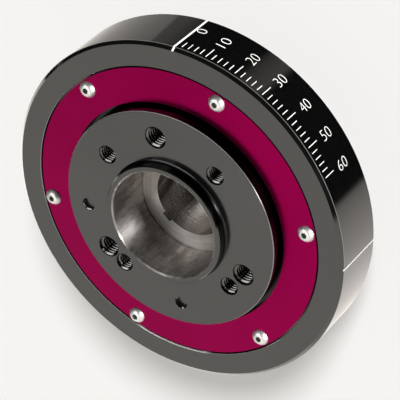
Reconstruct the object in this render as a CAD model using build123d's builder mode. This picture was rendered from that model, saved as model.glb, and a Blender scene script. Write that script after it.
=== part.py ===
from build123d import *
import os
from math import sqrt

# Harmonic balancer for a crankshaft nose, in millimetres.
# +Z runs along the crankshaft from the snout's end to the front face.
# The origin is the centre of the snout's end, on which the balancer stands.

# --- Inertia ring ---
ring_section = 20.28            # bore to rim, for an outside diameter of 6.40 in
ring_width = 28.2
ring_front_chamfer = 1.4
ring_rear_chamfer = 1.0
pocket_ledge = 8.85             # pocket floor, from the ring's bore to the pocket's wall
pocket_depth = 3.6
pocket_edge_break = 0.3
zero_angle = 307.5              # timing mark, degrees from +X
quarter_turn = 90.0             # from the zero line to the quarter line
zero_line_width = 1.0
quarter_line_width = 0.8
line_depth = 0.25

# --- Hub, from its rear end to its front ---
snout_reach = 32.0              # snout's end to the ring's rear face
crank_bore_r = 17.46            # 1.375 in crankshaft
bore_entry_chamfer = 1.0
keyway_width = 4.76             # 3/16 in key
keyway_depth = 1.6
keyway_angle = 84.0
journal_r = 22.225              # 1.75 in oil seal journal
journal_length = 20.0
snout_chamfer = 1.2
snout_root_step = 2.775         # journal to the snout's root
web_recess_depth = 3.5          # rear web face, ahead of the ring's rear face
flange_rim_width = 3.0
flange_setback = 0.6            # flange rim and rubber, ahead of the ring's rear face
shoulder_gap = 0.5              # running gap under the retainer plate
shoulder_width = 5.2            # flange outside the face disc
disc_r = 51.8
disc_proud = 5.1                # face disc ahead of the ring's front face
disc_edge_break = 0.5
boss_wall = 2.95                # pulley pilot, round the recess
boss_height = 4.7
boss_root_rise = 0.8            # root fillet, cut as two cones
boss_root_step = 0.25
boss_edge_break = 0.5
recess_r = 25.4                 # 2.00 in recess for the crankshaft bolt
recess_depth = 23.4
recess_mouth_chamfer = 0.6
relief_width = 0.9              # corner groove in the recess wall, at its floor
relief_depth = 0.4

# --- Pulley bolt holes in the hub face, at the thread's major radius ---
four_bolt_circle_r = 38.1       # 3.00 in circle of 5/16 in bolts
four_bolt_hole_r = 3.97
four_bolt_angle = 0.0
four_bolt_count = 4
three_bolt_circle_r = 39.9      # circle of 3/8 in bolts
three_bolt_hole_r = 4.76
three_bolt_angle = 75.8
three_bolt_count = 3
pulley_hole_depth = 20.0
pulley_hole_chamfer = 0.4

# --- Elastomer ring ---
elastomer_thickness = 4.0

# --- Retainer plate ---
plate_thickness = 3.2
plate_edge_gap = 0.75           # to the pocket's wall
plate_hub_gap = 1.6             # to the hub's face disc

# --- Plate screws, M4 button head ---
plate_screw_count = 6
plate_screw_inset = 4.85        # from the pocket's wall
plate_screw_angle = 48.8
plate_screw_r = 2.0
plate_screw_length = 10.0
plate_screw_head_r = 3.8
plate_screw_head_height = 2.2
plate_screw_land_r = 1.9        # flat on top of the head
plate_screw_hex = 2.5
plate_screw_hex_depth = 1.3
plate_screw_clearance = 0.25

# --- Counterweight and its screws, M6 socket head ---
weight_angle = 90.75
weight_span = 160.0
weight_thickness = 15.0
weight_root_gap = 1.0           # to the snout's root
weight_rim_gap = 0.5            # to the flange rim
weight_corner_r = 3.0
weight_edge_chamfer = 0.8
weight_screw_count = 2
weight_screw_spread = 90.0      # angle from one screw to the other
weight_screw_circle_r = 41.6
weight_screw_r = 3.0
weight_screw_length = 35.0
weight_screw_end_depth = 1.8    # screw's end below the hub face
weight_screw_head_r = 5.0
weight_screw_head_height = 6.0
weight_screw_head_bevel = 0.6
weight_screw_hex = 5.0
weight_screw_hex_depth = 3.0
weight_screw_clearance = 0.3
weight_head_clearance = 0.5

thread_clearance = 0.05         # tapped hole to screw, radial
tapped_run_out = 2.0            # tapped hole deeper than its screw's end

# --- Levels along Z that several pieces share ---
ring_rear_z = snout_reach
ring_front_z = ring_rear_z + ring_width
pocket_floor_z = ring_front_z - pocket_depth
plate_top_z = pocket_floor_z + plate_thickness
shoulder_z = pocket_floor_z - shoulder_gap
flange_rear_z = ring_rear_z + flange_setback
web_rear_z = ring_rear_z + web_recess_depth
disc_front_z = ring_front_z + disc_proud
boss_top_z = disc_front_z + boss_height
recess_floor_z = boss_top_z - recess_depth
weight_rear_z = web_rear_z - weight_thickness
weight_screw_end_z = disc_front_z - weight_screw_end_depth
weight_screw_seat_z = weight_screw_end_z - weight_screw_length

# --- Radii that follow from the pieces they meet ---
snout_root_r = journal_r + snout_root_step
boss_r = recess_r + boss_wall
flange_r = disc_r + shoulder_width
ring_bore_r = flange_r + elastomer_thickness
ring_r = ring_bore_r + ring_section
pocket_r = ring_bore_r + pocket_ledge
plate_screw_circle_r = pocket_r - plate_screw_inset
flange_rim_r = flange_r - flange_rim_width
plate_inner_r = disc_r + plate_hub_gap
plate_outer_r = pocket_r - plate_edge_gap
weight_inner_r = snout_root_r + weight_root_gap
weight_outer_r = flange_rim_r - weight_rim_gap
weight_screw_start = weight_angle - weight_screw_spread / 2


# --- Patterns that more than one piece is drilled to ---
def plate_screw_spots():
    """The plate screws' places, in whatever workplane asks for them."""
    return PolarLocations(plate_screw_circle_r, plate_screw_count, plate_screw_angle)


def weight_screw_spots():
    """The counterweight screws' places, in whatever workplane asks for them."""
    return PolarLocations(
        weight_screw_circle_r,
        weight_screw_count,
        weight_screw_start,
        weight_screw_spread,
        endpoint=True,
    )


def circles_at(part, radius, z):
    """The circular edges of a turned piece that have this radius and lie at this level."""
    return part.edges().filter_by(
        lambda edge: edge.geom_type == GeomType.CIRCLE
        and abs(edge.radius - radius) < 1e-4
        and abs(edge.center(CenterOf.BOUNDING_BOX).Z - z) < 1e-4
    )


def save(builder, name):
    """Labels a finished piece and writes its STEP file."""
    builder.part.label = name
    export_step(builder.part, f"parts/{name}.step")


os.makedirs("parts", exist_ok=True)


# --- Inertia ring: turned, with a pocket for the plate, tapped holes and two engraved lines ---
def engrave_line(angle, width):
    """Cuts a line of constant depth along the rim and over its front chamfer."""
    floor_r = ring_r - line_depth
    chamfer_shift = line_depth * sqrt(2)
    chamfer_end_r = ring_r - ring_front_chamfer - chamfer_shift
    chamfer_start_z = ring_front_z - ring_front_chamfer - chamfer_shift + line_depth
    with BuildSketch(Plane.XZ.rotated((0, 0, angle))) as line_section:
        with BuildLine():
            Polyline(
                (floor_r, ring_rear_z),
                (floor_r, chamfer_start_z),
                (chamfer_end_r, ring_front_z),
                (ring_r, ring_front_z + line_depth),
                (ring_r + line_depth, ring_front_z),
                (ring_r + line_depth, ring_rear_z),
                close=True,
            )
        make_face()
    extrude(line_section.sketch, amount=width / 2, both=True, mode=Mode.SUBTRACT)


with BuildPart() as inertia_ring:
    with BuildSketch(Plane.XZ):
        with BuildLine():
            Polyline(
                (ring_bore_r, ring_rear_z),
                (ring_r, ring_rear_z),
                (ring_r, ring_front_z),
                (pocket_r, ring_front_z),
                (pocket_r, pocket_floor_z),
                (ring_bore_r, pocket_floor_z),
                close=True,
            )
        make_face()
    revolve(axis=Axis.Z)
    chamfer(circles_at(inertia_ring, ring_r, ring_front_z), ring_front_chamfer)
    chamfer(circles_at(inertia_ring, ring_r, ring_rear_z), ring_rear_chamfer)
    chamfer(circles_at(inertia_ring, pocket_r, ring_front_z), pocket_edge_break)
    with Locations((0, 0, pocket_floor_z)):
        with plate_screw_spots():
            Hole(
                plate_screw_r + thread_clearance,
                plate_screw_length - plate_thickness + tapped_run_out,
            )
    engrave_line(zero_angle, zero_line_width)
    engrave_line(zero_angle - quarter_turn, quarter_line_width)
save(inertia_ring, "inertia_ring")


# --- Hub: snout, web, face disc and boss in one turned piece, then keyway and holes ---
def drill_pulley_holes(hole_r, circle_r, count, first_angle):
    """Drills flat-bottomed blind holes with a chamfered mouth into the hub face."""
    with Locations((0, 0, disc_front_z)):
        with PolarLocations(circle_r, count, first_angle):
            CounterSinkHole(
                hole_r, hole_r + pulley_hole_chamfer, pulley_hole_depth, counter_sink_angle=90
            )


with BuildPart() as hub:
    with BuildSketch(Plane.XZ):
        with BuildLine():
            Polyline(
                (crank_bore_r, 0),
                (journal_r, 0),
                (journal_r, journal_length),
                (snout_root_r, journal_length),
                (snout_root_r, web_rear_z),
                (flange_rim_r, web_rear_z),
                (flange_rim_r, flange_rear_z),
                (flange_r, flange_rear_z),
                (flange_r, shoulder_z),
                (disc_r, shoulder_z),
                (disc_r, disc_front_z),
                (boss_r + boss_root_rise, disc_front_z),
                (boss_r + boss_root_step, disc_front_z + boss_root_step),
                (boss_r, disc_front_z + boss_root_rise),
                (boss_r, boss_top_z),
                (recess_r, boss_top_z),
                (recess_r, recess_floor_z + relief_width),
                (recess_r + relief_depth, recess_floor_z + relief_width),
                (recess_r + relief_depth, recess_floor_z),
                (crank_bore_r, recess_floor_z),
                close=True,
            )
        make_face()
    revolve(axis=Axis.Z)
    chamfer(circles_at(hub, journal_r, 0), snout_chamfer)
    chamfer(circles_at(hub, crank_bore_r, 0), bore_entry_chamfer)
    chamfer(circles_at(hub, disc_r, disc_front_z), disc_edge_break)
    chamfer(circles_at(hub, boss_r, boss_top_z), boss_edge_break)
    chamfer(circles_at(hub, recess_r, boss_top_z), recess_mouth_chamfer)
    with Locations(Location((0, 0, 0), (0, 0, keyway_angle))):
        Box(
            crank_bore_r + keyway_depth,
            keyway_width,
            boss_top_z,
            align=(Align.MIN, Align.CENTER, Align.MIN),
            mode=Mode.SUBTRACT,
        )
    drill_pulley_holes(four_bolt_hole_r, four_bolt_circle_r, four_bolt_count, four_bolt_angle)
    drill_pulley_holes(three_bolt_hole_r, three_bolt_circle_r, three_bolt_count, three_bolt_angle)
    with Locations((0, 0, disc_front_z)):
        with weight_screw_spots():
            Hole(weight_screw_r + thread_clearance, disc_front_z - web_rear_z)
save(hub, "hub")


# --- Elastomer ring: pressed between the hub's flange and the inertia ring ---
with BuildPart() as elastomer_ring:
    with BuildSketch(Plane.XY.offset(flange_rear_z)):
        Circle(ring_bore_r)
        Circle(flange_r, mode=Mode.SUBTRACT)
    extrude(amount=shoulder_z - flange_rear_z)
save(elastomer_ring, "elastomer_ring")


# --- Retainer plate: lies on the pocket floor and reaches in over the hub's shoulder ---
with BuildPart() as retainer_plate:
    with BuildSketch(Plane.XY.offset(pocket_floor_z)):
        Circle(plate_outer_r)
        Circle(plate_inner_r, mode=Mode.SUBTRACT)
        with plate_screw_spots():
            Circle(plate_screw_r + plate_screw_clearance, mode=Mode.SUBTRACT)
    extrude(amount=plate_thickness)
save(retainer_plate, "retainer_plate")


# --- Screws: each stands on the plane of its seat, with its head ahead of the plane ---
def socket_screw(seat, thread_r, length, head_r, head_height, bevel, hex_width, hex_depth):
    """A screw with a round bevelled head and a hexagon socket."""
    upward = Axis(seat.origin, seat.z_dir)
    with BuildPart(seat) as screw:
        Cylinder(head_r, head_height, align=(Align.CENTER, Align.CENTER, Align.MIN))
        chamfer(screw.faces().sort_by(upward)[-1].edges(), bevel)
        Cylinder(thread_r, length, align=(Align.CENTER, Align.CENTER, Align.MAX))
        with BuildSketch(seat.offset(head_height)):
            RegularPolygon(hex_width / 2, 6, major_radius=False)
        extrude(amount=-hex_depth, mode=Mode.SUBTRACT)
    return screw


for number, spot in enumerate(plate_screw_spots(), start=1):
    plate_screw = socket_screw(
        Plane(spot).offset(plate_top_z),
        plate_screw_r,
        plate_screw_length,
        plate_screw_head_r,
        plate_screw_head_height,
        plate_screw_head_r - plate_screw_land_r,
        plate_screw_hex,
        plate_screw_hex_depth,
    )
    save(plate_screw, f"plate_screw_{number}")


# --- Counterweight: an arc plate that sits in the web's rear recess ---
weight_seats = [-Plane(spot).offset(weight_screw_seat_z) for spot in weight_screw_spots()]
weight_faces = [-Plane(spot).offset(weight_rear_z) for spot in weight_screw_spots()]

with BuildPart() as counterweight:
    with BuildSketch(Plane.XY.offset(weight_rear_z)) as weight_outline:
        with BuildLine():
            start = weight_angle - weight_span / 2
            outer_arc = CenterArc((0, 0), weight_outer_r, start, weight_span)
            inner_arc = CenterArc((0, 0), weight_inner_r, start, weight_span)
            Line(outer_arc @ 0, inner_arc @ 0)
            Line(outer_arc @ 1, inner_arc @ 1)
        make_face()
        fillet(weight_outline.vertices(), weight_corner_r)
    extrude(amount=weight_thickness)
    chamfer(counterweight.faces().sort_by(Axis.Z)[0].edges(), weight_edge_chamfer)
    with Locations(*weight_faces):
        CounterBoreHole(
            weight_screw_r + weight_screw_clearance,
            weight_screw_head_r + weight_head_clearance,
            weight_screw_seat_z - weight_rear_z,
        )
save(counterweight, "counterweight")

for number, seat in enumerate(weight_seats, start=1):
    weight_screw = socket_screw(
        seat,
        weight_screw_r,
        weight_screw_length,
        weight_screw_head_r,
        weight_screw_head_height,
        weight_screw_head_bevel,
        weight_screw_hex,
        weight_screw_hex_depth,
    )
    save(weight_screw, f"counterweight_screw_{number}")
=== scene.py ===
# Harmonic balancer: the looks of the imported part, in metres, in the part's own frame.
# +Z runs along the crankshaft, and the balancer stands on its snout's end at z = 0.
import math

import bmesh
import bpy
from mathutils import Matrix, Vector


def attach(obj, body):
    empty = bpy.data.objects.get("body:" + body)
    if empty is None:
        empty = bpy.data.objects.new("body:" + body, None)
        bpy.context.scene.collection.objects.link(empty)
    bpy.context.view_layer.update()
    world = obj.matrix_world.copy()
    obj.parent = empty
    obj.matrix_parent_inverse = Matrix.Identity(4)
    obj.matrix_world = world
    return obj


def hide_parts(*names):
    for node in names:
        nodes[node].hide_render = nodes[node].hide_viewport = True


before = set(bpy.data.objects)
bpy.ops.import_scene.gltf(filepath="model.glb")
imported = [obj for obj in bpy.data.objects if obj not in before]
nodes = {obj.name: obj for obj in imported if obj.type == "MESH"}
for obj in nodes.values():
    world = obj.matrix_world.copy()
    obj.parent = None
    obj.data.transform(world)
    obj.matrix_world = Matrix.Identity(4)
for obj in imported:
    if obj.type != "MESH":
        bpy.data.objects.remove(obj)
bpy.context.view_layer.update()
scene = bpy.context.scene
MM = 0.001


# --- Camera: above the front face, rolled so that the near rim shows at the upper right ---
camera_place = Vector((-13.378, -616.709, 661.227)) * MM
camera_azimuth = math.radians(-91.0)
camera_elevation = math.radians(45.0708)
camera_roll = math.radians(-132.012)
camera_data = bpy.data.cameras.new("camera")
camera_data.lens = 181.507
camera_data.sensor_width = 36.0
camera = bpy.data.objects.new("camera", camera_data)
camera.matrix_world = (
    Matrix.Translation(camera_place)
    @ Matrix.Rotation(camera_azimuth + math.pi / 2, 4, "Z")
    @ Matrix.Rotation(math.pi / 2 - camera_elevation, 4, "X")
    @ Matrix.Rotation(camera_roll, 4, "Z")
)
scene.collection.objects.link(camera)
scene.camera = camera
scene.view_settings.view_transform = "Standard"


# --- Studio floor: a pale paper sweep that keeps the object's shadow and stays near white ---
floor_half = 3.0
floor_paper = (0.85, 0.85, 0.85)
floor_glow_share = 0.45
floor_glow = (0.92, 0.89, 0.855)


def mesh_object(name, build):
    """A new object at the origin, its mesh filled by build(bm)."""
    bm = bmesh.new()
    build(bm)
    mesh = bpy.data.meshes.new(name)
    bm.to_mesh(mesh)
    bm.free()
    made = bpy.data.objects.new(name, mesh)
    scene.collection.objects.link(made)
    return made


def new_material(name):
    """A material with an empty node tree but for its output, and the tree and that output."""
    material = bpy.data.materials.new(name)
    material.use_nodes = True
    tree = material.node_tree
    tree.nodes.clear()
    output = tree.nodes.new("ShaderNodeOutputMaterial")
    return material, tree, output


def feed(tree, socket, source):
    """Give a socket its value: a link where source is a socket, and a number otherwise."""
    if isinstance(source, bpy.types.NodeSocket):
        tree.links.new(source, socket)
    else:
        socket.default_value = source


def calc(tree, operation, *sources):
    """A math node's result."""
    node = tree.nodes.new("ShaderNodeMath")
    node.operation = operation
    for socket, source in zip(node.inputs, sources):
        feed(tree, socket, source)
    return node.outputs[0]


def either(tree, *masks):
    """1 where any mask is 1: the highest of them."""
    result = masks[0]
    for mask in masks[1:]:
        result = calc(tree, "MAXIMUM", result, mask)
    return result


floor = mesh_object("floor", lambda bm: bmesh.ops.create_grid(bm, size=floor_half))
material, tree, output = new_material("floor_paper")
shade = tree.nodes.new("ShaderNodeBsdfDiffuse")
shade.inputs["Color"].default_value = (*floor_paper, 1)
glow = tree.nodes.new("ShaderNodeEmission")
glow.inputs["Color"].default_value = (*floor_glow, 1)
path = tree.nodes.new("ShaderNodeLightPath")
seen = either(tree, *(path.outputs[f"Is {ray} Ray"] for ray in ("Camera", "Glossy", "Transmission")))
mix = tree.nodes.new("ShaderNodeMixShader")
tree.links.new(calc(tree, "MULTIPLY", seen, floor_glow_share), mix.inputs[0])
tree.links.new(shade.outputs[0], mix.inputs[1])
tree.links.new(glow.outputs[0], mix.inputs[2])
tree.links.new(mix.outputs[0], output.inputs["Surface"])
floor.data.materials.append(material)


# --- Studio lights: a low key on the near left, a soft one high on the other side and a soft ---
# overhead, which light what shines, a sun lamp with a wide disc for what is matt, and a room
# that is pale on its far side and dark on the near one.
light_aim = (0, 0, 0.06)
fill_from = Vector((0.168, -0.791, 0.588))
fill_power = 4.83
fill_spread = math.radians(12)
room_colour = (0.925, 0.90, 0.84)
room_fill = 0.20
far_wall_toward = (-0.743, 0.669, 0.0)
far_wall_dark = 0.01
far_wall_bright = 0.85


def ease(tree, value, low, high, to_low=0.0, to_high=1.0):
    """A smooth step of value from low to high."""
    node = tree.nodes.new("ShaderNodeMapRange")
    node.interpolation_type = "SMOOTHSTEP"
    feed(tree, node.inputs["Value"], value)
    feed(tree, node.inputs["From Min"], low)
    feed(tree, node.inputs["From Max"], high)
    feed(tree, node.inputs["To Min"], to_low)
    feed(tree, node.inputs["To Max"], to_high)
    return node.outputs["Result"]


def soft_light(name, place, size, power):
    """A square area light at place, turned to the part, that only glossy surfaces see."""
    data = bpy.data.lights.new(name, "AREA")
    data.shape = "SQUARE"
    data.size = size
    data.energy = power
    made = bpy.data.objects.new(name, data)
    made.location = place
    made.rotation_euler = (Vector(place) - Vector(light_aim)).to_track_quat("Z", "Y").to_euler()
    made.visible_diffuse = False
    scene.collection.objects.link(made)


soft_light("key", (-0.83, -1.19, 0.44), 0.26, 24.0)
soft_light("side", (0.62, 0.05, 1.35), 0.85, 8.0)
soft_light("overhead", (-0.25, 0.30, 1.60), 0.9, 4.0)
data = bpy.data.lights.new("near_fill", "SUN")
data.energy = fill_power
data.angle = fill_spread
near_fill = bpy.data.objects.new("near_fill", data)
near_fill.rotation_euler = fill_from.to_track_quat("Z", "Y").to_euler()
near_fill.visible_glossy = False
scene.collection.objects.link(near_fill)

world = bpy.data.worlds.new("studio")
world.use_nodes = True
scene.world = world
tree = world.node_tree
tree.nodes.clear()
output = tree.nodes.new("ShaderNodeOutputWorld")
room = tree.nodes.new("ShaderNodeBackground")
room.inputs["Color"].default_value = (*room_colour, 1)
coordinate = tree.nodes.new("ShaderNodeTexCoord")
side = tree.nodes.new("ShaderNodeVectorMath")
side.operation = "DOT_PRODUCT"
side.inputs[1].default_value = far_wall_toward
tree.links.new(coordinate.outputs["Generated"], side.inputs[0])
far_wall = ease(tree, side.outputs["Value"], 0.29, 0.37, far_wall_dark, far_wall_bright)
path = tree.nodes.new("ShaderNodeLightPath")
pick = tree.nodes.new("ShaderNodeMix")
pick.inputs["A"].default_value = room_fill
tree.links.new(path.outputs["Is Glossy Ray"], pick.inputs["Factor"])
tree.links.new(far_wall, pick.inputs["B"])
show = tree.nodes.new("ShaderNodeMix")
show.inputs["B"].default_value = 1.0
tree.links.new(path.outputs["Is Camera Ray"], show.inputs["Factor"])
tree.links.new(pick.outputs["Result"], show.inputs["A"])
tree.links.new(show.outputs["Result"], room.inputs["Strength"])
tree.links.new(room.outputs[0], output.inputs["Surface"])


# --- Studio cards: a disc on the floor that only gloss sees, black on the near side and pale ---
# on the left, so that the rim turns black behind its scale and bright beyond it. A black disc
# and a small bright one lie under the crank bore, and show in its bare wall.
card_apex = Vector((0, -49, 0.5)) * MM
card_reach = 2.4
card_warmth = (1.05, 0.99, 0.93)
card_glow = (  # azimuth in degrees, and brightness there
    (0, 0.42), (12, 0.50), (24, 0.63), (36, 0.87), (49, 1.52), (61, 2.15), (80, 2.30),
    (123, 0.98), (136, 1.22), (147, 1.40), (159, 1.52), (170, 1.42), (177, 1.10), (195, 0.78),
    (203.0, 0.56), (206.2, 0.0), (286, 0.0), (291, 0.30), (304, 0.16), (308, 0.0),
    (346.4, 0.0), (347.6, 0.10), (354, 0.20),
)
card_peak = 2.4
card_fade = 0.19  # beyond this distance from the axis, the card is black up to card_far
card_far = 45
bore_black = (0.01, 0.01, 0.01)
bore_glow_colour = (1.0, 0.97, 0.95)


def studio_disc(name, place, radius, segments, material):
    """A flat disc with its centre at place, that only gloss sees."""
    disc = mesh_object(
        name, lambda bm: bmesh.ops.create_circle(bm, cap_ends=True, segments=segments, radius=radius)
    )
    disc.data.transform(Matrix.Translation(place))
    disc.data.materials.append(material)
    disc.visible_camera = False
    disc.visible_diffuse = False
    disc.visible_shadow = False
    disc.visible_transmission = False


material, tree, output = new_material("card_glow")
coordinate = tree.nodes.new("ShaderNodeTexCoord")
place = tree.nodes.new("ShaderNodeVectorMath")
place.operation = "SUBTRACT"
place.inputs[1].default_value = card_apex
tree.links.new(coordinate.outputs["Object"], place.inputs[0])
split = tree.nodes.new("ShaderNodeSeparateXYZ")
tree.links.new(place.outputs[0], split.inputs[0])
turn = calc(tree, "ARCTAN2", split.outputs["Y"], split.outputs["X"])
turn = calc(tree, "DIVIDE", turn, 2 * math.pi)
turn = calc(tree, "FRACT", calc(tree, "ADD", turn, 1.0))
ramp = tree.nodes.new("ShaderNodeValToRGB")
tree.links.new(turn, ramp.inputs[0])
stops = ramp.color_ramp.elements
stops.remove(stops[0])
stops[0].position = 0
stops[0].color = (*[card_glow[0][1] / card_peak] * 3, 1)
for azimuth, brightness in card_glow[1:]:
    stops.new(azimuth / 360).color = (*[brightness / card_peak] * 3, 1)
reach = tree.nodes.new("ShaderNodeVectorMath")
reach.operation = "LENGTH"
tree.links.new(coordinate.outputs["Object"], reach.inputs[0])
shown = ease(tree, reach.outputs["Value"], card_fade, card_fade + 0.02, 1.0, 0.0)
shown = either(tree, shown, calc(tree, "GREATER_THAN", turn, card_far / 360))
warm = tree.nodes.new("ShaderNodeMix")
warm.data_type = "RGBA"
warm.blend_type = "MULTIPLY"
warm.inputs[0].default_value = 1.0
warm.inputs[7].default_value = (*card_warmth, 1)
tree.links.new(ramp.outputs[0], warm.inputs[6])
glow = tree.nodes.new("ShaderNodeEmission")
tree.links.new(warm.outputs[2], glow.inputs["Color"])
tree.links.new(calc(tree, "MULTIPLY", shown, card_peak), glow.inputs["Strength"])
tree.links.new(glow.outputs[0], output.inputs["Surface"])
studio_disc("floor_card", card_apex, card_reach, 64, material)

material, tree, output = new_material("card_black")
dark = tree.nodes.new("ShaderNodeBsdfDiffuse")
dark.inputs["Color"].default_value = (*bore_black, 1)
tree.links.new(dark.outputs[0], output.inputs["Surface"])
studio_disc("bore_card", Vector((0, 0, 0.6)) * MM, 17.1 * MM, 48, material)

material, tree, output = new_material("card_white")
glow = tree.nodes.new("ShaderNodeEmission")
glow.inputs["Color"].default_value = (*bore_glow_colour, 1)
tree.links.new(glow.outputs[0], output.inputs["Surface"])
studio_disc("bore_glow", Vector((10.5, -3.2, 0.9)) * MM, 5.5 * MM, 32, material)


# --- Inertia ring: a heavy steel ring, turned all over, blacked and polished to a gloss, ---
# with the zero line and the quarter line engraved across its rim and filled with white paint.
ring_r = 81.28
ring_front = 60.2
zero_angle = 307.5
quarter_turn = 90.0
zero_line_width = 1.0
quarter_line_width = 0.8
line_start_r = 79.7
rim_paint_r = 80.95
pocket_r = 70.0
pocket_edge = (pocket_r, 60.05)
chamfer_edge = (ring_r, 58.8)
edge_width = 0.22
glint_angle = 126.0  # the middle of the stretch of the pocket's edge that is painted bright as a highlight
glint_height = 59.3
glint_width = 0.2
scale_white = (0.93, 0.93, 0.91)
coat_black = (0.0025, 0.0025, 0.0025)
coat_ior = 2.0
# the bright steel of the painted highlight lines along edges
highlight_steel = (0.42, 0.41, 0.39)
highlight_share = 0.55
glint_steel = (0.90, 0.88, 0.87)


def place_group():
    """Where a point is on a turned part: radius and height in mm, and angle in degrees."""
    group = bpy.data.node_groups.new("turned_place", "ShaderNodeTree")
    for name in ("Radius", "Height", "Angle"):
        group.interface.new_socket(name, in_out="OUTPUT", socket_type="NodeSocketFloat")
    out = group.nodes.new("NodeGroupOutput")
    coordinate = group.nodes.new("ShaderNodeTexCoord")
    split = group.nodes.new("ShaderNodeSeparateXYZ")
    group.links.new(coordinate.outputs["Object"], split.inputs[0])
    x, y, z = split.outputs
    square = calc(group, "ADD", calc(group, "MULTIPLY", x, x), calc(group, "MULTIPLY", y, y))
    radius = calc(group, "MULTIPLY", calc(group, "SQRT", square), 1000.0)
    angle = calc(group, "MULTIPLY", calc(group, "ARCTAN2", y, x), 180 / math.pi)
    angle = calc(group, "WRAP", angle, 360.0, 0.0)
    group.links.new(radius, out.inputs["Radius"])
    group.links.new(calc(group, "MULTIPLY", z, 1000.0), out.inputs["Height"])
    group.links.new(angle, out.inputs["Angle"])
    return group


def lathe_group():
    """Fine turning marks: a noise that changes across the feed and hardly round the part."""
    group = bpy.data.node_groups.new("lathe_marks", "ShaderNodeTree")
    group.interface.new_socket("Pitch", in_out="INPUT", socket_type="NodeSocketFloat")
    group.interface.new_socket("Marks", in_out="OUTPUT", socket_type="NodeSocketFloat")
    source = group.nodes.new("NodeGroupInput")
    out = group.nodes.new("NodeGroupOutput")
    spot = group.nodes.new("ShaderNodeGroup")
    spot.node_tree = turned_place
    across = calc(group, "DIVIDE", spot.outputs["Radius"], source.outputs["Pitch"])
    along = calc(group, "DIVIDE", spot.outputs["Height"], source.outputs["Pitch"])
    turn = calc(group, "MULTIPLY", spot.outputs["Angle"], math.pi / 180)
    join = group.nodes.new("ShaderNodeCombineXYZ")
    group.links.new(calc(group, "ADD", across, calc(group, "COSINE", turn)), join.inputs[0])
    group.links.new(calc(group, "ADD", along, calc(group, "SINE", turn)), join.inputs[1])
    noise = group.nodes.new("ShaderNodeTexNoise")
    noise.inputs["Scale"].default_value = 1.0
    noise.inputs["Detail"].default_value = 5.0
    noise.inputs["Roughness"].default_value = 0.65
    group.links.new(join.outputs[0], noise.inputs["Vector"])
    group.links.new(noise.outputs["Fac"], out.inputs["Marks"])
    return group


def handling_group():
    """Faint cloudy smears from handling and oil, from 0 to 1."""
    group = bpy.data.node_groups.new("handling", "ShaderNodeTree")
    group.interface.new_socket("Smear", in_out="OUTPUT", socket_type="NodeSocketFloat")
    out = group.nodes.new("NodeGroupOutput")
    coordinate = group.nodes.new("ShaderNodeTexCoord")
    noise = group.nodes.new("ShaderNodeTexNoise")
    noise.inputs["Scale"].default_value = 38.0
    noise.inputs["Detail"].default_value = 4.0
    group.links.new(coordinate.outputs["Object"], noise.inputs["Vector"])
    group.links.new(ease(group, noise.outputs["Fac"], 0.35, 0.70), out.inputs["Smear"])
    return group


turned_place = place_group()
lathe_marks = lathe_group()
handling = handling_group()


def use_group(tree, group, **values):
    """A group node in tree, with its inputs set."""
    node = tree.nodes.new("ShaderNodeGroup")
    node.node_tree = group
    for name, value in values.items():
        node.inputs[name].default_value = value
    return node


def blend(tree, mask, low, high):
    """Mix two colours or two numbers by a mask."""
    node = tree.nodes.new("ShaderNodeMix")
    coloured = any(isinstance(end, tuple) or getattr(end, "type", "") == "RGBA" for end in (low, high))
    node.data_type = "RGBA" if coloured else "FLOAT"
    first = 6 if coloured else 2
    feed(tree, node.inputs[0], mask)
    for socket, value in ((node.inputs[first], low), (node.inputs[first + 1], high)):
        feed(tree, socket, (*value, 1) if isinstance(value, tuple) else value)
    return node.outputs[2 if coloured else 0]


def bump(tree, shader, height, strength, distance):
    """Lay a bump under the shader."""
    node = tree.nodes.new("ShaderNodeBump")
    node.inputs["Strength"].default_value = strength
    node.inputs["Distance"].default_value = distance
    tree.links.new(height, node.inputs["Height"])
    tree.links.new(node.outputs[0], shader.inputs["Normal"])


def finish(name, **values):
    """A material with one Principled shader, its own sockets set by name."""
    material, tree, output = new_material(name)
    shader = tree.nodes.new("ShaderNodeBsdfPrincipled")
    for socket, value in values.items():
        shader.inputs[socket.replace("_", " ")].default_value = value
    tree.links.new(shader.outputs[0], output.inputs["Surface"])
    return material, tree, shader


def dress(name, material):
    """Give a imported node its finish."""
    nodes[name].data.materials.clear()
    nodes[name].data.materials.append(material)


def every(tree, *masks):
    """1 where every mask is 1: their product."""
    result = masks[0]
    for mask in masks[1:]:
        result = calc(tree, "MULTIPLY", result, mask)
    return result


def worn_edges(tree, spot, edges, width):
    """A mask of thin lines round the part at given edges, used for painted highlight lines along edges
    and for a painted dark fillet.
    """
    lines = 0.0
    for edge_r, edge_z in edges:
        off_r = calc(tree, "SUBTRACT", spot.outputs["Radius"], edge_r)
        off_z = calc(tree, "SUBTRACT", spot.outputs["Height"], edge_z)
        square_r = calc(tree, "MULTIPLY", off_r, off_r)
        square_z = calc(tree, "MULTIPLY", off_z, off_z)
        off = calc(tree, "SQRT", calc(tree, "ADD", square_r, square_z))
        lines = either(tree, lines, ease(tree, off, width, width / 2))
    return lines


def near(tree, angle, target, half_width):
    """1 where the angle is within half_width mm of target on the rim."""
    gap = calc(tree, "ABSOLUTE", calc(tree, "SUBTRACT", angle, target))
    return calc(tree, "LESS_THAN", gap, math.degrees(half_width / ring_r))


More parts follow.
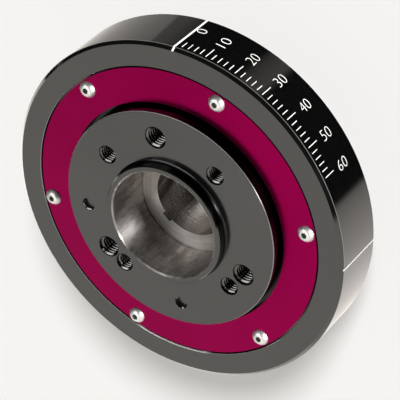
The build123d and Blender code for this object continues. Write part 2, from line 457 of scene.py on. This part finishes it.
ring_finish, tree, shader = finish("ring_finish", IOR=coat_ior)
spot = use_group(tree, turned_place)
radius, height, angle = spot.outputs
zero_line = near(tree, angle, zero_angle, zero_line_width / 2)
quarter_line = near(tree, angle, zero_angle - quarter_turn, quarter_line_width / 2)
painted = either(
    tree,
    every(tree, zero_line, calc(tree, "GREATER_THAN", radius, line_start_r)),
    every(tree, quarter_line, calc(tree, "GREATER_THAN", radius, rim_paint_r)),
)
smear = use_group(tree, handling).outputs["Smear"]
# Thin bright steel lines painted along the pocket's edge and the chamfer's edge: painted highlights.
edge_highlight = calc(tree, "MULTIPLY", worn_edges(tree, spot, (pocket_edge, chamfer_edge), edge_width), highlight_share)
off_edge = calc(tree, "ABSOLUTE", calc(tree, "SUBTRACT", radius, pocket_r))
off_middle = calc(tree, "ABSOLUTE", calc(tree, "SUBTRACT", angle, glint_angle))
# A stretch of the pocket's edge is painted near-white steel: a painted highlight.
glint_mask = every(
    tree,
    calc(tree, "LESS_THAN", off_edge, glint_width),
    calc(tree, "GREATER_THAN", height, glint_height),
    ease(tree, off_middle, 17.0, 11.0),
)
black = blend(tree, edge_highlight, coat_black, highlight_steel)
black = blend(tree, glint_mask, black, glint_steel)
tree.links.new(blend(tree, painted, black, scale_white), shader.inputs["Base Color"])
edge_highlight = either(tree, edge_highlight, glint_mask)
tree.links.new(edge_highlight, shader.inputs["Metallic"])
gloss = blend(tree, edge_highlight, ease(tree, smear, 0, 1, 0.10, 0.135), 0.5)
tree.links.new(blend(tree, painted, gloss, 0.6), shader.inputs["Roughness"])
bump(tree, shader, use_group(tree, lathe_marks, Pitch=0.8).outputs["Marks"], 0.05, 0.00002)
dress("inertia_ring", ring_finish)


# --- Timing scale: ticks and numerals stamped into the rim and filled with white paint, ---
# every two degrees from the zero line to sixty, with a number at each ten. The two engraved
# lines are filled level with the rim, and the quarter line's end on the chamfer is black.
tick_step = 2.0
tick_count = 30
tick_width = 0.34
tick_front = 3.0
tick_short_end = 6.9
tick_long_end = 9.6
chamfer_width = 1.4
fill_front = 1.5
fill_rear = 27.1
zero_fill_width = 0.9
quarter_fill_width = 0.7
end_fill_width = 0.78
end_fill_sunk = 0.1
paint_proud = 0.02
paint_sunk = 0.15
numeral_height = 4.6
numeral_width = 3.2
numeral_rear = 20.0
numeral_lift = -0.45
zero_lift = -2.9
numeral_slice = 0.6
numeral_weight = -0.024
smeared_white = (0.88, 0.88, 0.86)


def wrap_on_rim(mesh, angle):
    """Lay a flat mesh on the rim: x runs back from the front face, and y round the ring."""
    for vertex in mesh.vertices:
        back, along, up = vertex.co
        turned = math.radians(angle) + along / ring_r
        radius = (ring_r + up) * MM
        vertex.co = (radius * math.cos(turned), radius * math.sin(turned), (ring_front - back) * MM)


def slab(bm, x0, x1, y0, y1):
    """A flat bar of paint, through the rim's surface."""
    bar = bmesh.ops.create_cube(bm, size=1)["verts"]
    size = Vector((x1 - x0, y1 - y0, paint_proud + paint_sunk))
    middle = Vector(((x0 + x1) / 2, (y0 + y1) / 2, (paint_proud - paint_sunk) / 2))
    bmesh.ops.scale(bm, vec=size, verts=bar)
    bmesh.ops.translate(bm, vec=middle, verts=bar)


def ticks(bm):
    """All the ticks, which run from the zero line against the angle's sense."""
    for step in range(1, tick_count + 1):
        end = tick_long_end if step % 5 == 0 else tick_short_end
        middle = -math.radians(step * tick_step) * ring_r
        slab(bm, tick_front, end, middle - tick_width / 2, middle + tick_width / 2)


def line_fill(width):
    """A build function for the paint in an engraved line, along the rim."""
    return lambda bm: slab(bm, fill_front, fill_rear, -width / 2, width / 2)


def chamfer_fill(bm):
    """A bar that lies level with the front chamfer, from the face to the rim."""
    for vertex in bmesh.ops.create_cube(bm, size=1)["verts"]:
        across, along, up = vertex.co
        sunk = 0.0 if up > 0 else end_fill_sunk
        back = (across + 0.5) * chamfer_width
        vertex.co = (back + sunk, along * end_fill_width, back - chamfer_width - sunk)


paint, tree, shader = finish("scale_paint", Roughness=0.55)
smear = use_group(tree, handling).outputs["Smear"]
tree.links.new(blend(tree, smear, scale_white, smeared_white), shader.inputs["Base Color"])

scale_ticks = mesh_object("scale_ticks", ticks)
zero_fill = mesh_object("zero_line_fill", line_fill(zero_fill_width))
quarter_fill = mesh_object("quarter_line_fill", line_fill(quarter_fill_width))
quarter_end = mesh_object("quarter_line_end", chamfer_fill)
for marking, angle, stuff, slot in (
    (scale_ticks, zero_angle, paint, "scale_white"),
    (zero_fill, zero_angle, paint, "scale_white"),
    (quarter_fill, zero_angle - quarter_turn, paint, "scale_white"),
    (quarter_end, zero_angle - quarter_turn, ring_finish, "black_coat"),
):
    wrap_on_rim(marking.data, angle)
    marking.data.materials.append(stuff)
    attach(marking, "root")


def numeral(value):
    """One number of the scale, cut fine enough to follow the rim."""
    letters = bpy.data.curves.new("numeral", "FONT")
    letters.body = str(value)
    letters.size = 1.0
    letters.offset = numeral_weight
    letters.resolution_u = 4
    letters.extrude = 0.5
    flat = bpy.data.objects.new("numeral", letters)
    scene.collection.objects.link(flat)
    bpy.context.view_layer.update()
    mesh = bpy.data.meshes.new_from_object(flat)
    bpy.data.objects.remove(flat)
    bm = bmesh.new()
    bm.from_mesh(mesh)
    bmesh.ops.remove_doubles(bm, verts=bm.verts, dist=1e-5)
    low_y = min(v.co.y for v in bm.verts)
    high_y = max(v.co.y for v in bm.verts)
    low_x = min(v.co.x for v in bm.verts)
    high_x = max(v.co.x for v in bm.verts)
    grow = numeral_height / (high_y - low_y)
    widen = numeral_width * len(str(value)) / (high_x - low_x)
    bmesh.ops.translate(bm, vec=(-high_x, -(low_y + high_y) / 2, 0), verts=bm.verts)
    bmesh.ops.scale(bm, vec=(widen, grow, paint_proud + paint_sunk), verts=bm.verts)
    bmesh.ops.translate(bm, vec=(numeral_rear, 0, (paint_proud - paint_sunk) / 2), verts=bm.verts)
    level = -numeral_height / 2 + numeral_slice
    while level < numeral_height / 2:
        everything = bm.verts[:] + bm.edges[:] + bm.faces[:]
        bmesh.ops.bisect_plane(bm, geom=everything, plane_co=(0, level, 0), plane_no=(0, 1, 0))
        level += numeral_slice
    bm.to_mesh(mesh)
    bm.free()
    return mesh


for value in range(0, 70, 10):
    mesh = numeral(value)
    lift = numeral_lift if value else zero_lift
    wrap_on_rim(mesh, zero_angle - value + math.degrees(lift / ring_r))
    figure = bpy.data.objects.new(f"scale_number_{value}", mesh)
    scene.collection.objects.link(figure)
    figure.data.materials.append(paint)
    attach(figure, "root")


# --- Hub: one steel forging, turned all over and blacked like the ring. The crankshaft bore, ---
# the bolt's recess and the seal journal are finished after the blacking and left bare. The walls
# that lie deep, of the disc, the boss and the tapped holes, and the boss's root, are painted darker, as
# the shade that falls there.
bare_steel = (0.64, 0.605, 0.575)
snout_bare_end = 20.0
bore_bare_r = 20.5
recess_bare_r = 26.02
recess_bare_start = 46.0
recess_floor = 46.6
mark_shade = 0.68
scuffed_steel = (0.30, 0.28, 0.265)
disc_edge = (51.55, 65.05)
disc_wall_r = 51.6
disc_wall_top = 64.9
boss_root = (28.5, 65.7)
boss_root_line = (28.6, 65.6)
boss_wall_r = 28.2
boss_wall_low = 65.6
boss_wall_top = 69.5
# the darker blacks of the painted shade on the deep walls and in the boss's root
wall_shade_black = (0.04, 0.04, 0.04)
root_shade_black = (0.012, 0.012, 0.012)
hole_face = 65.28
countersink = 0.42
four_holes = {"radius": 38.1, "wall": 3.97, "pitch": 1.411, "start": 0.0, "count": 4}
three_holes = {"radius": 39.9, "wall": 4.76, "pitch": 1.5875, "start": 75.8, "count": 3}


def hole_walls(tree, spot, holes):
    """1 on the walls and countersinks of a circle of holes."""
    step = 360.0 / holes["count"]
    turned = calc(tree, "SUBTRACT", spot.outputs["Angle"], holes["start"] - step / 2)
    turned = calc(tree, "SUBTRACT", calc(tree, "FLOORED_MODULO", turned, step), step / 2)
    along = calc(tree, "MULTIPLY", turned, math.pi / 180 * holes["radius"])
    out = calc(tree, "SUBTRACT", spot.outputs["Radius"], holes["radius"])
    square = calc(tree, "ADD", calc(tree, "MULTIPLY", along, along), calc(tree, "MULTIPLY", out, out))
    return calc(tree, "LESS_THAN", calc(tree, "SQRT", square), holes["wall"] + countersink)


material, tree, shader = finish("hub_finish", IOR=coat_ior, Anisotropic=0.8, Anisotropic_Rotation=0.25)
spot = use_group(tree, turned_place)
radius, height = spot.outputs["Radius"], spot.outputs["Height"]
recess = every(
    tree,
    calc(tree, "LESS_THAN", radius, recess_bare_r),
    calc(tree, "GREATER_THAN", height, recess_bare_start),
)
bore = calc(tree, "LESS_THAN", radius, bore_bare_r)
bare = either(tree, recess, bore, calc(tree, "LESS_THAN", height, snout_bare_end))
smear = use_group(tree, handling).outputs["Smear"]
marks = use_group(tree, lathe_marks, Pitch=0.55).outputs["Marks"]
marked_steel = tuple(mark_shade * part for part in bare_steel)
steel = blend(tree, ease(tree, marks, 0.35, 0.65), bare_steel, marked_steel)
turn = calc(tree, "MULTIPLY", spot.outputs["Angle"], math.pi / 180)
join = tree.nodes.new("ShaderNodeCombineXYZ")
tree.links.new(calc(tree, "COSINE", turn), join.inputs[0])
tree.links.new(calc(tree, "SINE", turn), join.inputs[1])
tree.links.new(calc(tree, "MULTIPLY", height, 0.012), join.inputs[2])
scuff = tree.nodes.new("ShaderNodeTexNoise")
scuff.inputs["Scale"].default_value = 7.0
scuff.inputs["Detail"].default_value = 6.0
scuff.inputs["Roughness"].default_value = 0.6
tree.links.new(join.outputs[0], scuff.inputs["Vector"])
above_floor = ease(tree, height, recess_floor + 0.02, recess_floor + 0.06, 0.15, 1.0)
scuffs = every(tree, ease(tree, scuff.outputs["Fac"], 0.40, 0.64), above_floor)
steel = blend(tree, scuffs, steel, scuffed_steel)
# The boss's root fillet is painted darker and rougher: painted shade in the crease.
root = worn_edges(tree, spot, (boss_root,), 0.9)
disc_wall = every(
    tree,
    calc(tree, "GREATER_THAN", radius, disc_wall_r),
    calc(tree, "LESS_THAN", height, disc_wall_top),
)
boss_wall = every(
    tree,
    calc(tree, "GREATER_THAN", radius, boss_wall_r),
    calc(tree, "GREATER_THAN", height, boss_wall_low),
    calc(tree, "LESS_THAN", height, boss_wall_top),
)
tapped = every(
    tree,
    either(tree, hole_walls(tree, spot, four_holes), hole_walls(tree, spot, three_holes)),
    calc(tree, "LESS_THAN", height, hole_face),
)
# The disc's wall, the boss's wall, the tapped holes' walls and countersinks and the root are painted a
# darker black: painted shade.
painted_shade = either(tree, root, tapped, disc_wall, boss_wall)
# Thin bright steel lines painted along the disc's edge and, faintly, by the boss's root: painted
# highlights.
root_line = calc(tree, "MULTIPLY", worn_edges(tree, spot, (boss_root_line,), 0.12), 0.12)
rim_line = worn_edges(tree, spot, (disc_edge,), 0.3)
edge_highlight = calc(tree, "MULTIPLY", either(tree, rim_line, root_line), highlight_share)
black = blend(tree, painted_shade, coat_black, blend(tree, root, wall_shade_black, root_shade_black))
black = blend(tree, edge_highlight, black, highlight_steel)
tree.links.new(blend(tree, bare, black, steel), shader.inputs["Base Color"])
tree.links.new(either(tree, bare, edge_highlight, painted_shade), shader.inputs["Metallic"])
gloss = blend(tree, edge_highlight, ease(tree, smear, 0, 1, 0.11, 0.15), 0.5)
gloss = blend(tree, root, gloss, 0.3)
honed = every(tree, bore, calc(tree, "LESS_THAN", height, recess_bare_start + 0.5))
dull = blend(tree, honed, ease(tree, marks, 0.3, 0.7, 0.32, 0.46), 0.2)
tree.links.new(blend(tree, bare, gloss, dull), shader.inputs["Roughness"])
bump(tree, shader, calc(tree, "MULTIPLY", marks, blend(tree, bare, 0.06, 1.0)), 0.5, 0.00005)
dress("hub", material)


# --- Threads: seven tapped holes in the hub's face for the crank pulleys, and the two of the ---
# counterweight's screws, which stop short of it. The threads' flanks shine in the dark holes, and their
# crests are painted near black, as shade.
pulley_face = 65.3
weight_holes = {"radius": 41.6, "wall": 3.05, "pitch": 1.0, "start": 45.75, "count": 2}
thread_depth_share = 0.46
thread_half_share = 0.46
crest_half_share = 0.20
thread_start = 0.15
thread_root_sunk = 0.03
thread_steps = 32
tapped_depth = 18.5
screw_hole_depth = 1.7
flank_steel = (0.19, 0.186, 0.178)
flank_oiled = (0.11, 0.107, 0.102)
# the crests' near black is painted shade, against the flanks' steel
crest_shade_black = (0.03, 0.029, 0.028)
crest_shade_oiled = (0.016, 0.015, 0.014)


def thread(hole, turns, top):
    """A build function for a ridge that winds down the hole's wall."""
    angle = hole["angle"]
    middle = Vector((hole["radius"] * math.cos(angle), hole["radius"] * math.sin(angle), 0))
    pitch, wall = hole["pitch"], hole["wall"]
    crest = wall - thread_depth_share * pitch

    def build(bm):
        half = thread_half_share * pitch
        flat = crest_half_share * pitch
        root = wall + thread_root_sunk
        profile = ((root, -half), (crest, -flat), (crest, flat), (root, half))
        corners = [bm.verts.new((radius, 0, top - half + level)) for radius, level in profile]
        start = bm.faces.new(corners)
        bmesh.ops.spin(
            bm,
            geom=[start, *start.edges, *start.verts],
            cent=(0, 0, 0),
            axis=(0, 0, 1),
            dvec=(0, 0, -pitch / thread_steps),
            angle=2 * math.pi * turns,
            steps=round(thread_steps * turns),
        )
        bmesh.ops.recalc_face_normals(bm, faces=bm.faces)
        for face in bm.faces:
            face.material_index = int(face.calc_center_median().xy.length < crest + 0.05)
        bmesh.ops.rotate(bm, matrix=Matrix.Rotation(angle, 3, "Z"), cent=(0, 0, 0), verts=bm.verts)
        bmesh.ops.translate(bm, vec=middle, verts=bm.verts)
        bmesh.ops.scale(bm, vec=(MM, MM, MM), verts=bm.verts)

    return build


def thread_finish(name, clean, oiled):
    """Cut steel that turns from clean to oiled along the smears."""
    material, tree, shader = finish(name, Metallic=1.0, Roughness=0.16)
    smear = use_group(tree, handling).outputs["Smear"]
    tree.links.new(blend(tree, smear, clean, oiled), shader.inputs["Base Color"])
    return material


thread_steel = thread_finish("thread_steel", flank_steel, flank_oiled)
thread_crest_shade = thread_finish("thread_crest_shade", crest_shade_black, crest_shade_oiled)

number = 0
for holes, step, depth in (
    (four_holes, 90.0, tapped_depth),
    (three_holes, 120.0, tapped_depth),
    (weight_holes, 90.0, screw_hole_depth),
):
    for index in range(holes["count"]):
        hole = dict(holes, angle=math.radians(holes["start"] + step * index))
        turns = depth / hole["pitch"] - 1
        number += 1
        ridge = mesh_object(f"hub_thread_{number}", thread(hole, turns, pulley_face - thread_start))
        for face in ridge.data.polygons:
            face.use_smooth = False
        ridge.data.materials.append(thread_steel)
        ridge.data.materials.append(thread_crest_shade)
        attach(ridge, "root")


# --- Elastomer ring: black rubber, bonded in the gap between the hub and the inertia ring, ---
# where it lets the ring lag and soak up the crankshaft's twist.
rubber_black = (0.012, 0.012, 0.012)
rubber_grey = (0.03, 0.029, 0.028)
material, tree, shader = finish("rubber", Roughness=0.78)
noise = tree.nodes.new("ShaderNodeTexNoise")
noise.inputs["Scale"].default_value = 900.0
noise.inputs["Detail"].default_value = 3.0
coordinate = tree.nodes.new("ShaderNodeTexCoord")
tree.links.new(coordinate.outputs["Object"], noise.inputs["Vector"])
smear = use_group(tree, handling).outputs["Smear"]
tree.links.new(blend(tree, smear, rubber_black, rubber_grey), shader.inputs["Base Color"])
bump(tree, shader, noise.outputs["Fac"], 0.4, 0.00015)
dress("elastomer_ring", material)


# --- Retainer plate: a flat aluminium ring, anodised magenta, that closes the ring's pocket ---
# over the hub's shoulder. Its lettering is left off, so the face is bare.
magenta = (0.355, 0.0, 0.077)
magenta_worn = (0.325, 0.0, 0.070)
material, tree, shader = finish("magenta_anodised", Metallic=1.0)
smear = use_group(tree, handling).outputs["Smear"]
marks = use_group(tree, lathe_marks, Pitch=0.7).outputs["Marks"]
tree.links.new(blend(tree, smear, magenta, magenta_worn), shader.inputs["Base Color"])
tree.links.new(ease(tree, marks, 0.3, 0.7, 0.23, 0.28), shader.inputs["Roughness"])
bump(tree, shader, marks, 0.025, 0.00003)
dress("retainer_plate", material)


# --- Plate screws: six stainless button heads with a hex socket, turned and broached, ---
# that hold the retainer plate down in its pocket.
plate_screw_circle = 65.0
plate_screw_start = 48.8
plate_screw_count = 6
plate_top = 59.8
head_r = 3.8
head_height = 2.2
head_edge = 0.35
head_land_r = 1.75
head_foot_edge = 0.1
dome_steps = 8
dome_low = math.radians(45)
dome_high = math.radians(87)
socket_flat = 1.25
socket_depth = 1.3
shank_r = 2.0
shank_length = 10.0
head_segments = 48
stainless_clean = (0.95, 0.94, 0.92)
stainless_dull = (0.86, 0.85, 0.83)
# the sockets' near black is painted shade
socket_shade_black = (0.02, 0.019, 0.018)
socket_shade_smeared = (0.045, 0.043, 0.04)


def head_curve():
    """The button head's outline from its rim up to its land, as an arc."""
    rise = head_height - head_edge
    run = head_r - head_land_r
    points = []
    for step in range(dome_steps + 1):
        lean = dome_low + (dome_high - dome_low) * step / dome_steps
        points.append((math.cos(lean), math.sin(lean)))
    first, last = points[0], points[-1]
    return [
        (
            head_r - run * (first[0] - x) / (first[0] - last[0]),
            head_edge + rise * (y - first[1]) / (last[1] - first[1]),
        )
        for x, y in points
    ]


def hexagon(turn):
    """The socket's radius at a turn, across its flats."""
    sixth = math.pi / 3
    return socket_flat / math.cos((turn % sixth) - sixth / 2)


def button_screw(angle):
    """A build function for the screw at an angle: its turned outline and its socket, in rings."""
    middle = Vector((math.cos(angle), math.sin(angle), 0)) * plate_screw_circle
    foot = [(head_r - head_foot_edge, 0), (head_r, head_foot_edge)]
    outline = [(shank_r, -shank_length), (shank_r, 0), *foot, *head_curve()]

    def build(bm):
        loops = []
        rings = [(radius, height, False) for radius, height in outline]
        rings += [(socket_flat, head_height, True), (socket_flat, head_height - socket_depth, True)]
        for radius, height, broached in rings:
            made = bmesh.ops.create_circle(bm, segments=head_segments, radius=1)["verts"]
            for vertex in made:
                turn = math.atan2(vertex.co.y, vertex.co.x)
                reach = hexagon(turn) if broached else radius
                vertex.co = Vector((math.cos(turn), math.sin(turn), 0)) * reach
                vertex.co.z = plate_top + height
            loops.append([edge for edge in bm.edges if all(v in made for v in edge.verts)])
        for lower, upper in zip(loops, loops[1:]):
            bmesh.ops.bridge_loops(bm, edges=lower + upper)
        bmesh.ops.contextual_create(bm, geom=loops[0])
        bmesh.ops.contextual_create(bm, geom=loops[-1])
        bmesh.ops.recalc_face_normals(bm, faces=bm.faces)
        for face in bm.faces:
            centre = face.calc_center_median()
            below_land = 0 < centre.z - plate_top < head_height - 0.1
            in_socket = below_land and centre.xy.length < socket_flat + 0.05
            face.material_index = int(in_socket)
        bmesh.ops.translate(bm, vec=middle, verts=bm.verts)
        bmesh.ops.scale(bm, vec=(MM, MM, MM), verts=bm.verts)

    return build


# The hex sockets are painted near black and matt: painted shade inside them, with faint smears.
socket_shade, tree, shader = finish("socket_shade", Metallic=0.0, Roughness=0.5)
smear = use_group(tree, handling).outputs["Smear"]
tree.links.new(blend(tree, smear, socket_shade_black, socket_shade_smeared), shader.inputs["Base Color"])

stainless, tree, shader = finish("stainless", Metallic=1.0)
spread = tree.nodes.new("ShaderNodeTexNoise")
spread.inputs["Scale"].default_value = 700.0
coordinate = tree.nodes.new("ShaderNodeTexCoord")
tree.links.new(coordinate.outputs["Object"], spread.inputs["Vector"])
cloud = spread.outputs["Fac"]
tree.links.new(blend(tree, cloud, stainless_clean, stainless_dull), shader.inputs["Base Color"])
tree.links.new(ease(tree, cloud, 0.3, 0.7, 0.44, 0.52), shader.inputs["Roughness"])

for index in range(plate_screw_count):
    angle = math.radians(plate_screw_start + 360 / plate_screw_count * index)
    screw = mesh_object(f"button_screw_{index + 1}", button_screw(angle))
    for face in screw.data.polygons:
        face.use_smooth = True
    screw.data.set_sharp_from_angle(angle=math.radians(35))
    screw.data.materials.append(stainless)
    screw.data.materials.append(socket_shade)
    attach(screw, "root")
    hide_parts(f"plate_screw_{index + 1}")


# --- Counterweight: a steel segment bolted to the back of the web, blacked and left satin, ---
# with two socket screws whose ends show in the hub's face.
weight_black = (0.010, 0.010, 0.010)
weight_smeared = (0.018, 0.018, 0.017)
screw_black = (0.004, 0.004, 0.004)
screw_smeared = (0.010, 0.010, 0.010)
material, tree, shader = finish("weight_finish", Metallic=0.0, IOR=1.6)
smear = use_group(tree, handling).outputs["Smear"]
marks = use_group(tree, lathe_marks, Pitch=0.9).outputs["Marks"]
tree.links.new(blend(tree, smear, weight_black, weight_smeared), shader.inputs["Base Color"])
tree.links.new(ease(tree, smear, 0, 1, 0.32, 0.42), shader.inputs["Roughness"])
bump(tree, shader, marks, 0.3, 0.00004)
dress("counterweight", material)

material, tree, shader = finish("black_oxide", Metallic=0.0, IOR=coat_ior)
smear = use_group(tree, handling).outputs["Smear"]
tree.links.new(blend(tree, smear, screw_black, screw_smeared), shader.inputs["Base Color"])
tree.links.new(ease(tree, smear, 0, 1, 0.20, 0.30), shader.inputs["Roughness"])
dress("counterweight_screw_1", material)
dress("counterweight_screw_2", material)
